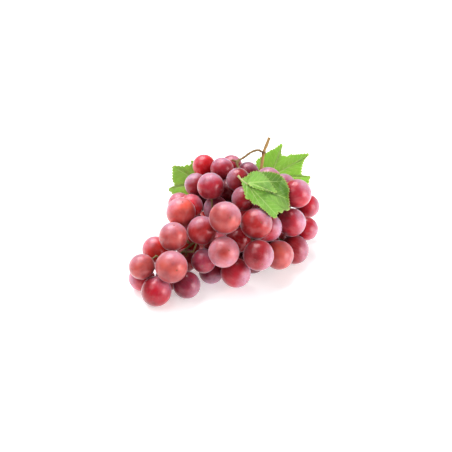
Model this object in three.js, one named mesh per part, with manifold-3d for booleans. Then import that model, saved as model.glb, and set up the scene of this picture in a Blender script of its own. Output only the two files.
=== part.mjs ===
// A bunch of red table grapes lying on its side, with its stalk, a short piece of woody shoot
// and three vine leaves. Millimetres. +X runs along the bunch from its tip to its stem end,
// +Z is up, and the bunch rests on z = 0.
import * as THREE from "three";
import { mergeVertices } from "three/addons/utils/BufferGeometryUtils.js";
import Module from "manifold-3d";

const wasm = await Module();
wasm.setup();

// Where the bunch is looked at from. The berries, stems and leaves of the show side are given
// as they look from there: across to the right, up, and near (towards the eye).
const LOOK_TURN = THREE.MathUtils.degToRad(-45);
const LOOK_RISE = THREE.MathUtils.degToRad(32);
const LOOK_DISTANCE = 700;
const LOOK_AT = new THREE.Vector3(-9.6, -12.2, 40);

// Berries.
const GAP = 0.4; // left between neighbours
const PRESSED = 0.8; // how far a berry flattens where it rests on the table
const GIVE_SEEN = { aside: 0.03, depth: 0.6 }; // how easily a berry is moved when they settle
const GIVE_HIDDEN = { aside: 1, depth: 1 };
const HIDDEN_SMALLEST = 20; // diameters
const HIDDEN_LARGEST = 23.5;
const SETTLE_ROUNDS = 500;

// The body of the bunch, on whose skin the hidden berries sit.
const BODY = {
  tip: -92, // along X
  broadest: 10,
  end: 80,
  middleY: 0.7, // at the broadest place
  bend: -0.06, // of the middle line in plan, per mm of X
  halfWidth: 46,
  height: 55,
  lowest: 11,
};

// Stalk.
const RACHIS_RADIUS = 1;
const ARM_RADIUS = 0.9;
const PEDICEL_RADIUS = 0.65;
const CANE_RADIUS = 1.45;
const KNOT_RADIUS = 1.9; // where the stalk leaves the shoot
const PART_GAP = 0.35; // between two pieces that meet
const ARM_COUNT = 12;
const ARM_REACH = 0.46; // share of the way from the rachis to the skin of the bunch
const ARM_LEAN = [34, -10]; // along X, of the first arm and of the last
const STEM_SHYNESS = 3; // how much further off an arm counts for each eighth of a stem that shows
const GOLDEN_ANGLE = Math.PI * (3 - Math.sqrt(5));

// Leaves. Their outlines and feet are given across and up.
const BLADE_THICKNESS = 0.8;
const BLADE_RINGS = 3;
const TOOTH_PITCH = 4;
const TOOTH_DEPTH = 0.9;
const PETIOLE_RADIUS = 0.8;
const LEAF_CLEARANCE = 2.2; // of a berry before a back leaf
const DRAPE_CLEARANCE = 1.6; // of the front leaf's middle over the berries under it
const DRAPE_SOFTNESS = 2.5;
const LAP_RISE = 5; // how far the folded lobe stands off the blade it laps
const LAP_ROUND = 4; // breadth of its fold

const FRONT_BLADE = {
  foot: [30, 28],
  outline: [
    [16.5, 40], [22, 42.5], [29.5, 44], [36, 44], [42.5, 42.5], [46.5, 39.5], [49, 36], [51.5, 29.5],
    [50.5, 25.5], [51.5, 19], [51.5, 13], [47.5, 14], [46, 10.5], [42.5, 12], [40.5, 6.5], [36.5, 9],
    [33, 12.5], [29.5, 15], [26.5, 18], [22.5, 18.5], [20, 22], [17, 22], [15.5, 28], [14, 33], [13, 38],
  ],
};
const FRONT_LOBE = {
  foot: [25.5, 36],
  outline: [
    [19, 34], [16.5, 38], [18, 41.5], [21.5, 44], [26, 44.5], [29.5, 42.5], [33, 39.5], [36, 35.5],
    [38.5, 31.5], [41.5, 27.5], [36, 29], [29.5, 30], [24, 31.5],
  ],
};
const LAP_LINE = [[17, 35], [22, 45]]; // where the lobe folds over
const FRONT_PETIOLE = [[10, 41], [13, 37.5], [18, 33.5]];

const BACK_RIGHT_BLADE = {
  foot: [36, 41],
  outline: [
    [24.5, 48.5], [25.5, 54], [29.5, 56.5], [33, 60], [36, 61.5], [40, 63], [46, 67.5], [44.5, 62.5],
    [45, 57.5], [47.5, 58], [50, 57], [52.5, 58.5], [56.5, 58], [60.5, 58.5], [68, 59], [65, 56.5],
    [63, 52.5], [61.5, 46], [61.5, 41], [69.5, 40], [68, 37.5], [67, 33], [62, 33], [57, 29], [51, 31],
    [44, 29.5], [38, 34.5], [31, 36], [28, 42.5],
  ],
  near: ([across, up]) => -51 - 0.12 * (up - 41) + 0.004 * (across - 45) ** 2,
  middle: [46, 46],
  reach: 21,
};
const BACK_RIGHT_PETIOLE = [[28, 34, -53], [32, 38, -52], [38, 43, -50.5]];

const BACK_LEFT_BLADE = {
  foot: [-21, 36],
  outline: [
    [-43.5, 49], [-34.5, 48.5], [-33, 50], [-28.5, 49], [-28, 54], [-24.5, 47.5], [-19, 50], [-12.5, 44.5],
    [-11.5, 34.5], [-16.5, 29.5], [-23, 24], [-31, 24.5], [-42.5, 26], [-47, 30], [-41, 33], [-43.5, 37.5],
    [-43.5, 44.5],
  ],
  near: ([across, up]) => -45 + 0.1 * (across + 21) + 0.004 * (up - 36) ** 2,
  middle: [-29, 38],
  reach: 17,
};
const BACK_LEAVES = [BACK_RIGHT_BLADE, BACK_LEFT_BLADE];
const BACK_LEFT_PETIOLE = [[4, 41, -58], [-5, 42, -54], [-13, 40, -49], [-23, 36, -45]];

// Seen berries: across, up, near, diameter.
const SEEN = [
  // top of the bunch
  [-17.5, 49, -30, 19],
  [-3, 44.5, -20, 19],
  [5, 49, -38, 18.5],
  [17, 44, -30, 18.5],
  [8.5, 35.5, -10, 19],
  [-24, 33, -16, 19],
  [-12.5, 31.5, 2, 22],
  // left shoulder
  [-37.5, 17, -18, 19.5],
  [-35.5, 10.5, 6, 24],
  [-24, 15, -9, 19.5],
  [-10, 11, 4, 21],
  [-1, 6.5, 30, 26.5],
  [-19.5, -4, 14, 23.5],
  [-43, -8.5, 22, 23.5],
  // tip
  [-57.5, -19.5, 12, 22],
  [-44.5, -33.5, 36, 26.5],
  [-68.5, -34, 28, 21],
  [-68.5, -42.5, 11, 21.5],
  [-57.5, -53.5, 28, 25],
  [-32.5, -48, 22, 22.5],
  [-34, -26, 6, 19.5],
  // front
  [-21.5, -24.5, 20, 20.5],
  [-2, -21.5, 32, 25.5],
  [-12.5, -39.5, 4, 20.5],
  [8, -38.5, 15, 24.5],
  [22, -29, -10, 20],
  [26.5, -23, 26, 25.5],
  [43, -23.5, -4, 24],
  [55.5, -19, -22, 24],
  // right shoulder
  [25, 1, 22, 26],
  [34.5, -1, -1, 23.5],
  [53, 3, -9, 23.4],
  [65.5, -2, -31, 19.5],
  [57, 26, -20, 23.5],
  [67, 16.5, -42, 20],
  [34.5, 37, -16, 22],
  [47, 32, -34, 21],
  [14.5, 22.5, 8, 20.5],
  [25.5, 15, -22, 20.5],
  // deep between the others
  [-17, 22.5, -24, 20],
  [0, 24, -20, 20],
  [10, -8, -6, 21],
  [-31, -15, -10, 20],
  [34, -13, -16, 20],
  [44, 14, -24, 20],
  [40, -12, -34, 20],
];

// The stalk as seen: from the shoot over the top of the bunch to its fork, then down between the
// berries.
const KNOT = [31, 60, -42];
const PEDUNCLE = [
  [29, 60.8, -41], [27.5, 62.3, -40.5], [24, 62, -38], [19.5, 60, -34], [14.5, 56, -29], [8.5, 53, -24.5],
  [10, 47.5, -23], [13.5, 43.5, -22], [20, 38, -22],
];
const FORK = 5; // its place in the list
const FORK_STUB = [4.5, 54.2, -24];
const CANE = [[27.5, 38, -42], [29, 48, -42], [31, 60.5, -42], [33.5, 67, -42], [35.5, 72.5, -42]];
// It goes on through the core of the bunch to the tip: x, y, z.
const CORE = [[28.4, 0.7, 50], [0.4, -0.3, 39], [-34.6, -1.3, 31], [-67.6, -2.3, 24]];

const TOWARD = new THREE.Vector3(
  Math.sin(LOOK_TURN) * Math.cos(LOOK_RISE),
  -Math.cos(LOOK_TURN) * Math.cos(LOOK_RISE),
  Math.sin(LOOK_RISE),
);
const RIGHT = new THREE.Vector3(Math.cos(LOOK_TURN), Math.sin(LOOK_TURN), 0);
const UP = TOWARD.clone().cross(RIGHT);

function fromLook([across, up, near]) {
  const scale = 1 - near / LOOK_DISTANCE;
  return LOOK_AT.clone()
    .addScaledVector(RIGHT, across * scale)
    .addScaledVector(UP, up * scale)
    .addScaledVector(TOWARD, near);
}

function toLook(point) {
  const offset = point.clone().sub(LOOK_AT);
  const near = offset.dot(TOWARD);
  const scale = 1 - near / LOOK_DISTANCE;
  return { across: offset.dot(RIGHT) / scale, up: offset.dot(UP) / scale, near, scale };
}

// A path with its corners cut twice.
function rounded(points) {
  let path = points;
  for (let pass = 0; pass < 2; pass++) {
    const cut = [path[0]];
    for (let k = 0; k + 1 < path.length; k++) {
      cut.push(path[k].clone().lerp(path[k + 1], 0.25), path[k].clone().lerp(path[k + 1], 0.75));
    }
    cut.push(path.at(-1));
    path = cut;
  }
  return path;
}

// The point at a share of a path's length.
function along(path, share) {
  const lengths = path.slice(1).map((point, k) => point.distanceTo(path[k]));
  let left = share * lengths.reduce((sum, length) => sum + length, 0);
  for (let k = 0; k < lengths.length; k++) {
    if (left <= lengths[k]) return path[k].clone().lerp(path[k + 1], left / lengths[k]);
    left -= lengths[k];
  }
  return path.at(-1).clone();
}

function closestOnLine(start, end, point) {
  const run = end.clone().sub(start);
  const share = THREE.MathUtils.clamp(point.clone().sub(start).dot(run) / run.lengthSq(), 0, 1);
  return start.clone().addScaledVector(run, share);
}

// How much of its breadth the bunch's body has at a place along its length.
function fullness(x) {
  const reach = x < BODY.broadest ? BODY.tip : BODY.end;
  const share = (x - BODY.broadest) / (reach - BODY.broadest);
  return Math.sqrt(Math.max(0, 1 - share * share));
}

// A point of the body's skin at an angle round it, or at a share of the way out to it.
function skinPoint(x, angle, depth) {
  const wide = BODY.halfWidth * fullness(x) * depth;
  const tall = (BODY.height / 2) * fullness(x);
  return new THREE.Vector3(
    x,
    BODY.middleY + BODY.bend * (x - BODY.broadest) + wide * Math.cos(angle),
    BODY.lowest + tall + tall * depth * Math.sin(angle),
  );
}

const rachisPath = rounded([
  ...PEDUNCLE.map(fromLook),
  ...CORE.map(([x, y, z]) => new THREE.Vector3(x, y, z)),
]);
const canePath = CANE.map(fromLook);

function makeArms() {
  const arms = [];
  for (let k = 0; k < ARM_COUNT; k++) {
    const root = along(rachisPath, 0.36 + (0.63 * k) / (ARM_COUNT - 1));
    const lean = ARM_LEAN[0] + ((ARM_LEAN[1] - ARM_LEAN[0]) * k) / (ARM_COUNT - 1);
    const tip = root.clone().lerp(skinPoint(root.x + lean, k * GOLDEN_ANGLE, 1), ARM_REACH);
    arms.push({ root, tip, berries: [] });
  }
  return arms;
}

function stretches(path, radius) {
  return path.slice(1).map((end, k) => ({ start: path[k], end, radius }));
}

const arms = makeArms();
const stalks = [
  ...stretches(rachisPath, RACHIS_RADIUS),
  ...stretches(canePath, CANE_RADIUS),
  ...stretches(BACK_RIGHT_PETIOLE.map(fromLook), PETIOLE_RADIUS),
  ...stretches(BACK_LEFT_PETIOLE.map(fromLook), PETIOLE_RADIUS),
  ...arms.map(({ root, tip }) => ({ start: root, end: tip, radius: ARM_RADIUS })),
];

function seenBerries() {
  return SEEN.map(([across, up, near, diameter]) => ({
    at: fromLook([across, up, near]),
    radius: (diameter / 2) * (1 - near / LOOK_DISTANCE),
    give: GIVE_SEEN,
    seen: true,
  }));
}

// Whether the seen berries all but hide a berry, looked at from the show side.
function isCovered(point, radius) {
  const spot = toLook(point);
  const apparent = radius / spot.scale;
  let bare = 0;
  for (let k = 0; k < 12; k++) {
    const x = spot.across + apparent * Math.cos((k * Math.PI) / 6);
    const y = spot.up + apparent * Math.sin((k * Math.PI) / 6);
    const covered = SEEN.some(
      ([across, up, near, size]) => near > spot.near && Math.hypot(x - across, y - up) < size / 2 + 1,
    );
    if (!covered) bare += 1;
  }
  return bare <= 2;
}

// How far a berry stands before a back leaf; boundless where it is clear of it.
function beforeLeaf(berry, { near, middle, reach }) {
  const spot = toLook(berry.at);
  const aside = Math.hypot(spot.across - middle[0], spot.up - middle[1]);
  if (aside > reach + 0.7 * berry.radius) return Infinity;
  return spot.near - near([spot.across, spot.up]) - berry.radius;
}

// The hidden berries: places spread evenly over the skin, and deeper in, where there is room.
function hiddenBerries(taken) {
  const added = [];
  for (let k = 1; k < 1500; k++) {
    const x = BODY.tip + 12 + (BODY.end - BODY.tip - 20) * ((k * 0.7548776662) % 1);
    const angle = 2 * Math.PI * ((k * 0.569840291) % 1);
    const depth = k % 3 === 0 ? 0.4 : 1;
    const share = (k * 0.6180339887) % 1;
    const radius = (HIDDEN_SMALLEST + (HIDDEN_LARGEST - HIDDEN_SMALLEST) * share) / 2;
    const at = skinPoint(x, angle, depth);
    const room = [...taken, ...added].every((b) => at.distanceTo(b.at) > 0.86 * (radius + b.radius));
    const before = BACK_LEAVES.every((leaf) => beforeLeaf({ at, radius }, leaf) > -4);
    if (room && before && isCovered(at, radius)) added.push({ at, radius, give: GIVE_HIDDEN, seen: false });
  }
  return added;
}

// How a berry answers a push along a unit direction.
function answer(direction, give) {
  const forward = (give.depth - give.aside) * direction.dot(TOWARD);
  return direction.clone().multiplyScalar(give.aside).addScaledVector(TOWARD, forward);
}

function pushFrom(berry, point, clearance) {
  const away = berry.at.clone().sub(point);
  const lack = berry.radius + clearance - away.length();
  if (lack <= 0) return;
  away.normalize();
  const move = answer(away, berry.give);
  berry.at.addScaledVector(move, lack / move.dot(away));
}

function pushApart(one, other) {
  const between = other.at.clone().sub(one.at);
  const lack = one.radius + other.radius + GAP - between.length();
  if (lack <= 0) return 0;
  between.normalize();
  const moveOne = answer(between, one.give);
  const moveOther = answer(between, other.give);
  const total = moveOne.dot(between) + moveOther.dot(between);
  one.at.addScaledVector(moveOne, -lack / total);
  other.at.addScaledVector(moveOther, lack / total);
  return lack;
}

// Moves the berries until none meets another, the stalk, a back leaf or the table.
function settle(berries) {
  for (let round = 0; round < SETTLE_ROUNDS; round++) {
    let most = 0;
    berries.forEach((berry, i) => {
      for (const other of berries.slice(i + 1)) most = Math.max(most, pushApart(berry, other));
      for (const { start, end, radius } of stalks) {
        pushFrom(berry, closestOnLine(start, end, berry.at), radius + GAP);
      }
      for (const leaf of BACK_LEAVES) {
        berry.at.addScaledVector(TOWARD, Math.max(0, LEAF_CLEARANCE - beforeLeaf(berry, leaf)));
      }
      berry.at.z = Math.max(berry.at.z, berry.radius - PRESSED);
    });
    if (most < 0.001) return;
  }
}

const settled = seenBerries();
settled.push(...hiddenBerries(settled));
settle(settled);
// A hidden berry that was pushed into sight is left out.
const berries = settled.filter(({ seen, at, radius }) => seen || isCovered(at, radius));

// Whether no berry hides a point from the show side.
function shows(point) {
  return !berries.some(({ at, radius }) => {
    const off = at.clone().sub(point);
    const near = off.dot(TOWARD);
    return near > 0 && off.lengthSq() - near * near < radius * radius;
  });
}

// How far an arm is from a berry. A full arm counts as further away, and so does one from which
// the stem would show.
function farness(arm, berry) {
  const start = closestOnLine(arm.root, arm.tip, berry.at);
  let showing = 0;
  for (let k = 0; k < 8; k++) if (shows(start.clone().lerp(berry.at, k / 8))) showing += 1;
  return start.distanceTo(berry.at) + STEM_SHYNESS * showing + 9 * Math.sqrt(arm.berries.length);
}

for (const berry of berries) {
  const nearer = (best, arm) => (farness(arm, berry) < farness(best, berry) ? arm : best);
  arms.reduce(nearer).berries.push(berry);
}

// A berry's stem: from its arm, bent clear of the berries and stems in its way, to just inside
// the berry.
function stemPath(arm, berry, obstacles) {
  const start = closestOnLine(arm.root.clone().lerp(arm.tip, 0.35), arm.tip, berry.at);
  const count = 8;
  const points = [];
  for (let k = 0; k < count; k++) points.push(start.clone().lerp(berry.at, k / (count - 1)));
  const near = obstacles.filter(({ at, radius }) => {
    return closestOnLine(start, berry.at, at).distanceTo(at) < radius + 12;
  });
  for (let round = 0; round < 60; round++) {
    for (let k = 1; k + 1 < count; k++) {
      const even = points[k - 1].clone().add(points[k + 1]).multiplyScalar(0.5);
      points[k].lerp(even, 0.3);
      for (const { at, radius } of near) {
        const away = points[k].clone().sub(at);
        const lack = radius - away.length();
        if (lack > 0) points[k].addScaledVector(away.normalize(), lack);
      }
    }
    const inward = points[count - 2].clone().sub(berry.at).normalize();
    points[count - 1].copy(berry.at).addScaledVector(inward, berry.radius - 2);
  }
  return points;
}

function solid(geometry) {
  const plain = geometry.index ? geometry.toNonIndexed() : geometry;
  plain.deleteAttribute("normal");
  plain.deleteAttribute("uv");
  const merged = mergeVertices(plain, 1e-4);
  const mesh = new wasm.Mesh({
    numProp: 3,
    vertProperties: merged.getAttribute("position").array,
    triVerts: new Uint32Array(merged.index.array),
  });
  return new wasm.Manifold(mesh);
}

function tube(path, radius, steps, sides) {
  const outline = [];
  for (let k = 0; k < sides; k++) {
    const angle = (2 * Math.PI * k) / sides;
    outline.push(new THREE.Vector2(radius * Math.cos(angle), radius * Math.sin(angle)));
  }
  const extrudePath = new THREE.CatmullRomCurve3(path);
  return solid(new THREE.ExtrudeGeometry(new THREE.Shape(outline), { steps, extrudePath }));
}

function berrySolid(berry, stemEnd) {
  const towardStem = stemEnd.clone().sub(berry.at).normalize();
  const turn = new THREE.Quaternion().setFromUnitVectors(new THREE.Vector3(0, 1, 0), towardStem);
  const ball = new THREE.SphereGeometry(berry.radius, ...(berry.seen ? [10, 6] : [8, 5]));
  return solid(ball.applyQuaternion(turn).translate(berry.at.x, berry.at.y, berry.at.z));
}

// Cuts small teeth between the corners of a leaf's outline.
function toothed(corners) {
  const points = [];
  corners.forEach(([x, y], index) => {
    const [nextX, nextY] = corners[(index + 1) % corners.length];
    const length = Math.hypot(nextX - x, nextY - y);
    const teeth = Math.max(1, Math.round(length / TOOTH_PITCH));
    for (let k = 0; k < teeth; k++) {
      const start = k / teeth;
      points.push([x + (nextX - x) * start, y + (nextY - y) * start]);
      if (teeth === 1) continue;
      const peak = (k + 0.62) / teeth;
      const outX = (-TOOTH_DEPTH * (nextY - y)) / length;
      const outY = (TOOTH_DEPTH * (nextX - x)) / length;
      points.push([x + (nextX - x) * peak + outX, y + (nextY - y) * peak + outY]);
    }
  });
  return points;
}

// A thin closed blade: rings of its outline, drawn in towards its foot, on a surface given by
// how near it lies at each place across and up.
function bladeSolid({ foot, outline, near }) {
  const rim = toothed(outline);
  const count = rim.length;
  const flat = [foot];
  for (let ring = 1; ring <= BLADE_RINGS; ring++) {
    const share = ring / BLADE_RINGS;
    for (const [x, y] of rim) flat.push([foot[0] + (x - foot[0]) * share, foot[1] + (y - foot[1]) * share]);
  }
  const faces = [];
  for (let k = 0; k < count; k++) {
    const next = (k + 1) % count;
    faces.push([0, 1 + next, 1 + k]);
    for (let ring = 1; ring < BLADE_RINGS; ring++) {
      const inner = 1 + (ring - 1) * count;
      const outer = inner + count;
      faces.push([inner + k, inner + next, outer + next], [inner + k, outer + next, outer + k]);
    }
  }
  const positions = [];
  const step = 0.2;
  for (const side of [1, -1]) {
    for (const [x, y] of flat) {
      const at = fromLook([x, y, near([x, y])]);
      const across = fromLook([x + step, y, near([x + step, y])]).sub(at);
      const up = fromLook([x, y + step, near([x, y + step])]).sub(at);
      const normal = across.cross(up).normalize();
      positions.push(...at.addScaledVector(normal, (side * BLADE_THICKNESS) / 2).toArray());
    }
  }
  const under = flat.length;
  const triangles = [];
  for (const [a, b, c] of faces) triangles.push(a, b, c, under + a, under + c, under + b);
  const edge = 1 + (BLADE_RINGS - 1) * count;
  for (let k = 0; k < count; k++) {
    const one = edge + k;
    const two = edge + ((k + 1) % count);
    triangles.push(one, two, under + two, one, under + two, under + one);
  }
  const geometry = new THREE.BufferGeometry();
  geometry.setAttribute("position", new THREE.Float32BufferAttribute(positions, 3));
  geometry.setIndex(triangles);
  return solid(geometry);
}

// The front leaf lies over the berries under it: as near as the nearest of them, rounded off.
function drape([across, up]) {
  let sum = 0;
  for (const berry of berries) {
    if (!berry.seen) continue;
    const spot = toLook(berry.at);
    const aside = Math.hypot(across - spot.across, up - spot.up) * spot.scale;
    const front = spot.near + berry.radius - (aside * aside) / (2 * berry.radius);
    sum += Math.exp(front / DRAPE_SOFTNESS);
  }
  return DRAPE_SOFTNESS * Math.log(sum) + DRAPE_CLEARANCE;
}

// Its folded lobe starts in the blade and rises over it.
function lapped(place) {
  const [[x, y], [endX, endY]] = LAP_LINE;
  const length = Math.hypot(endX - x, endY - y);
  const past = ((place[0] - x) * (endY - y) - (place[1] - y) * (endX - x)) / length;
  const share = THREE.MathUtils.clamp(past / LAP_ROUND, 0, 1);
  return drape(place) + LAP_RISE * Math.sqrt(1 - (1 - share) ** 2) - 0.3;
}

const material = (color, roughness) => new THREE.MeshStandardMaterial({ color, roughness, metalness: 0 });
const SKIN = material(0x9c2238, 0.35);
const GREEN_WOOD = material(0x8a8a3c, 0.6);
const BARK = material(0x8b6a3c, 0.75);
const LEAF = material(0x6fae2e, 0.55);

const bunch = new THREE.Group();
bunch.name = "grape_bunch";

function addNode(name, body, look) {
  const mesh = body.simplify(0.01).getMesh();
  const geometry = new THREE.BufferGeometry();
  geometry.setAttribute("position", new THREE.BufferAttribute(mesh.vertProperties, 3));
  geometry.setIndex(new THREE.BufferAttribute(mesh.triVerts, 1));
  const node = new THREE.Mesh(geometry, look.clone());
  node.name = name;
  bunch.add(node);
}

const table = solid(new THREE.BoxGeometry(400, 400, 40).translate(0, 0, -20));
const rachisRoom = tube(rachisPath, RACHIS_RADIUS + PART_GAP, 40, 6);
const knot = fromLook(KNOT);

const stemsInTheWay = [];
for (let k = 0; k <= 80; k++) {
  stemsInTheWay.push({
    at: along(rachisPath, k / 80),
    radius: RACHIS_RADIUS + PEDICEL_RADIUS + PART_GAP + 1,
    arm: null,
  });
}
arms.forEach((arm, index) => {
  let body = tube([arm.root, arm.tip], ARM_RADIUS, 2, 6);
  for (const berry of arm.berries) {
    const obstacles = berries
      .filter((other) => other !== berry)
      .map((other) => ({ at: other.at, radius: other.radius + PEDICEL_RADIUS + 0.6 }));
    obstacles.push(...stemsInTheWay.filter((other) => other.arm !== arm));
    const path = stemPath(arm, berry, obstacles);
    body = body.add(tube(path, PEDICEL_RADIUS, 5, 4)).add(berrySolid(berry, path.at(-1)));
    for (let k = 0; k <= 12; k++) {
      stemsInTheWay.push({ at: along(path, k / 12), radius: 2 * PEDICEL_RADIUS + 0.7, arm });
    }
  }
  const name = `spray_${String(index + 1).padStart(2, "0")}`;
  addNode(name, body.subtract(rachisRoom).subtract(table), SKIN);
});

const ball = (at, radius) => solid(new THREE.SphereGeometry(radius, 10, 8).translate(at.x, at.y, at.z));
const forkAt = fromLook(PEDUNCLE[FORK]);
const knotRoom = ball(knot, KNOT_RADIUS + PART_GAP);
addNode(
  "rachis",
  tube(rachisPath, RACHIS_RADIUS, 40, 6)
    .add(tube([forkAt, fromLook(FORK_STUB)], 0.8, 1, 6))
    .add(ball(forkAt, 1.6))
    .subtract(knotRoom),
  GREEN_WOOD,
);
addNode("cane", tube(canePath, CANE_RADIUS, 8, 8).add(ball(knot, KNOT_RADIUS)), BARK);

function petiole(points) {
  return tube(points.map(fromLook), PETIOLE_RADIUS, 6, 6);
}

const onBlade = ([across, up]) => [across, up, drape([across, up])];
addNode(
  "leaf_front",
  bladeSolid({ ...FRONT_BLADE, near: drape })
    .add(bladeSolid({ ...FRONT_LOBE, near: lapped }))
    .add(petiole(FRONT_PETIOLE.map(onBlade))),
  LEAF,
);
addNode("leaf_back_right", bladeSolid(BACK_RIGHT_BLADE).add(petiole(BACK_RIGHT_PETIOLE)), LEAF);
addNode("leaf_back_left", bladeSolid(BACK_LEFT_BLADE).add(petiole(BACK_LEFT_PETIOLE)), LEAF);

export default bunch;
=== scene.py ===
"""Looks of a bunch of red table grapes with its stalk, a piece of vine shoot and three leaves."""

import math

import bpy
import numpy as np
from bpy.props import FloatProperty, FloatVectorProperty, PointerProperty
from mathutils import Matrix


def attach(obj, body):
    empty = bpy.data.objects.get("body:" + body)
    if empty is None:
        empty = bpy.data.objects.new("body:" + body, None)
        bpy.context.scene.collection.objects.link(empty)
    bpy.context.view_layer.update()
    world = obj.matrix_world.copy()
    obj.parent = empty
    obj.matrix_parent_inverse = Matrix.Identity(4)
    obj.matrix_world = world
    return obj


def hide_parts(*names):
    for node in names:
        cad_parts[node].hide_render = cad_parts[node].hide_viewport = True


bl_info = {
    "name": "Bunch of grapes",
    "version": (1, 0, 0),
    "blender": (4, 5, 0),
    "location": "View3D > Sidebar > Grapes",
    "description": "Builds a bunch of red table grapes with its stalk, vine shoot and leaves",
    "category": "Object",
}

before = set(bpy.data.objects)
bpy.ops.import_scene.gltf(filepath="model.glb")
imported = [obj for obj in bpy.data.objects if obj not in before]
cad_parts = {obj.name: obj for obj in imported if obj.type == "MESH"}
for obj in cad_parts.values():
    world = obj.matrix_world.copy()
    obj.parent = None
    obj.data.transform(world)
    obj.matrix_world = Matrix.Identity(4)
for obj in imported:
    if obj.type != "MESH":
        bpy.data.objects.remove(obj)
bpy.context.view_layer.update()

# Everything is laid out in millimetres, in the part's own frame, and becomes metres in a mesh.
MM = 0.001

# Where the bunch is looked at from. Seen pieces are given as they look from there: across to
# the right, up, and near (towards the eye).
LOOK_TURN = math.radians(-45)
LOOK_RISE = math.radians(32)
LOOK_DISTANCE = 700
LOOK_AT = np.array((-9.6, -12.2, 40.0))
TOWARD = np.array(
    (
        math.sin(LOOK_TURN) * math.cos(LOOK_RISE),
        -math.cos(LOOK_TURN) * math.cos(LOOK_RISE),
        math.sin(LOOK_RISE),
    )
)
RIGHT = np.array((math.cos(LOOK_TURN), math.sin(LOOK_TURN), 0.0))
UP = np.cross(TOWARD, RIGHT)

# How the berries lie: the gap between two, how far the table presses one flat, and how readily
# one gives way, aside and in depth.
GAP = 0.4
PRESSED = 0.8
GIVE_SEEN = (0.03, 0.6)
GIVE_HIDDEN = (1.0, 1.0)
SETTLE_ROUNDS = 500

# Hidden berries: their diameters, how close one may start to another and before a back leaf, and
# the steps that spread their places evenly along, round and in size.
HIDDEN_SMALLEST = 20
HIDDEN_LARGEST = 23.5
HIDDEN_TRIES = 1500
HIDDEN_CLOSEST = 0.86
HIDDEN_INTO_LEAF = -4
HIDDEN_DEEP = 0.4
STEP_ALONG = 0.7548776662
STEP_ROUND = 0.569840291
STEP_SIZE = 0.6180339887

# The body of the bunch, which the hidden berries fill.
BODY_TIP = -92
BODY_BROADEST = 10
BODY_END = 80
BODY_MIDDLE_Y = 0.7
BODY_BEND = -0.06
BODY_HALF_WIDTH = 46
BODY_HEIGHT = 55
BODY_LOWEST = 11

# Radii of the stalk, the stems and the shoot, and the gap between two parts.
RACHIS_RADIUS = 1
ARM_RADIUS = 0.9
PEDICEL_RADIUS = 0.65
CANE_RADIUS = 1.45
KNOT_RADIUS = 1.9
PART_GAP = 0.35
GOLDEN_ANGLE = math.pi * (3 - math.sqrt(5))

# Side stems: the share of the stalk's length where the first grows and that they are spread over,
# how far one reaches towards the bunch's skin, and how the first and the last lean along X.
ARM_COUNT = 12
ARM_FIRST = 0.36
ARM_SPREAD = 0.63
ARM_REACH = 0.46
ARM_LEAN = (34, -10)

# What sends a berry to another side stem: each eighth of its stem that would show, and the square
# root of the number of berries there already.
STEM_SHYNESS = 3
CROWD_SHYNESS = 9

# Courses of the stalk and the shoot, and the knot between them. The stalk's upper part is given as
# it is seen, and its core within the bunch by X, Y and Z. The fork is one of the upper part's points.
KNOT = (31, 60, -42)
PEDUNCLE = (
    (29, 60.8, -41), (27.5, 62.3, -40.5), (24, 62, -38), (19.5, 60, -34), (14.5, 56, -29),
    (8.5, 53, -24.5), (10, 47.5, -23), (13.5, 43.5, -22), (20, 38, -22),
)
FORK = 5
FORK_STUB = (4.5, 54.2, -24)
CANE = ((27.5, 38, -42), (29, 48, -42), (31, 60.5, -42), (33.5, 67, -42), (35.5, 72.5, -42))
CORE = ((28.4, 0.7, 50), (0.4, -0.3, 39), (-34.6, -1.3, 31), (-67.6, -2.3, 24))

# Leaves: teeth, stalks, how far they keep from the berries, the height of the blade between two
# veins, and the folded lobe, which rises past a line.
TOOTH_PITCH = 2.6
TOOTH_DEPTH = 1.1
PETIOLE_RADIUS = 0.8
LEAF_CLEARANCE = 2.2
DRAPE_CLEARANCE = 1.6
DRAPE_SOFTNESS = 2.5
QUILT_HEIGHT = 0.5
LAP_RISE = 5
LAP_ROUND = 4
LAP_LINE = ((17, 35), (22, 45))

# Outlines and veins as they are seen, across and up. The veins are a foot and the tips that they
# run to. The greens are the one in shade and the one on the veins.
FRONT_FOOT = (30, 28)
FRONT_OUTLINE = (
    (16.5, 40), (22, 42.5), (29.5, 44), (36, 44), (42.5, 42.5), (46.5, 39.5), (49, 36),
    (51.5, 29.5), (50.5, 25.5), (51.5, 19), (51.5, 13), (47.5, 14), (46, 10.5), (42.5, 12),
    (40.5, 6.5), (36.5, 9), (33, 12.5), (29.5, 15), (26.5, 18), (22.5, 18.5), (20, 22), (17, 22),
    (15.5, 28), (14, 33), (13, 38),
)
FRONT_VEINS = ((17, 35), ((41.5, 9), (51, 22), (48.5, 37), (28, 17), (17, 23)))
# Past this line, the front leaf's right half is painted darker as painted shade, blended in over the
# breadth below.
FRONT_SHADE_LINE = ((33, 29.5), (47, 14.6))
SHADE_SOFTNESS = 4
FRONT_GREENS = ((0.12, 0.3, 0.02), (0.42, 0.6, 0.16))
LOBE_FOOT = (25.5, 36)
LOBE_OUTLINE = (
    (19, 34), (16.5, 38), (18, 41.5), (21.5, 44), (26, 44.5), (29.5, 42.5), (33, 39.5), (36, 35.5),
    (38.5, 31.5), (41.5, 27.5), (36, 29), (29.5, 30), (24, 31.5),
)
LOBE_VEINS = ((18.5, 35.5), ((41, 28), (31, 42), (22, 44), (30, 31)))
FRONT_PETIOLE = ((10, 41), (13, 37.5), (18, 33.5))
BACK_RIGHT_FOOT = (36, 41)
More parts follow.
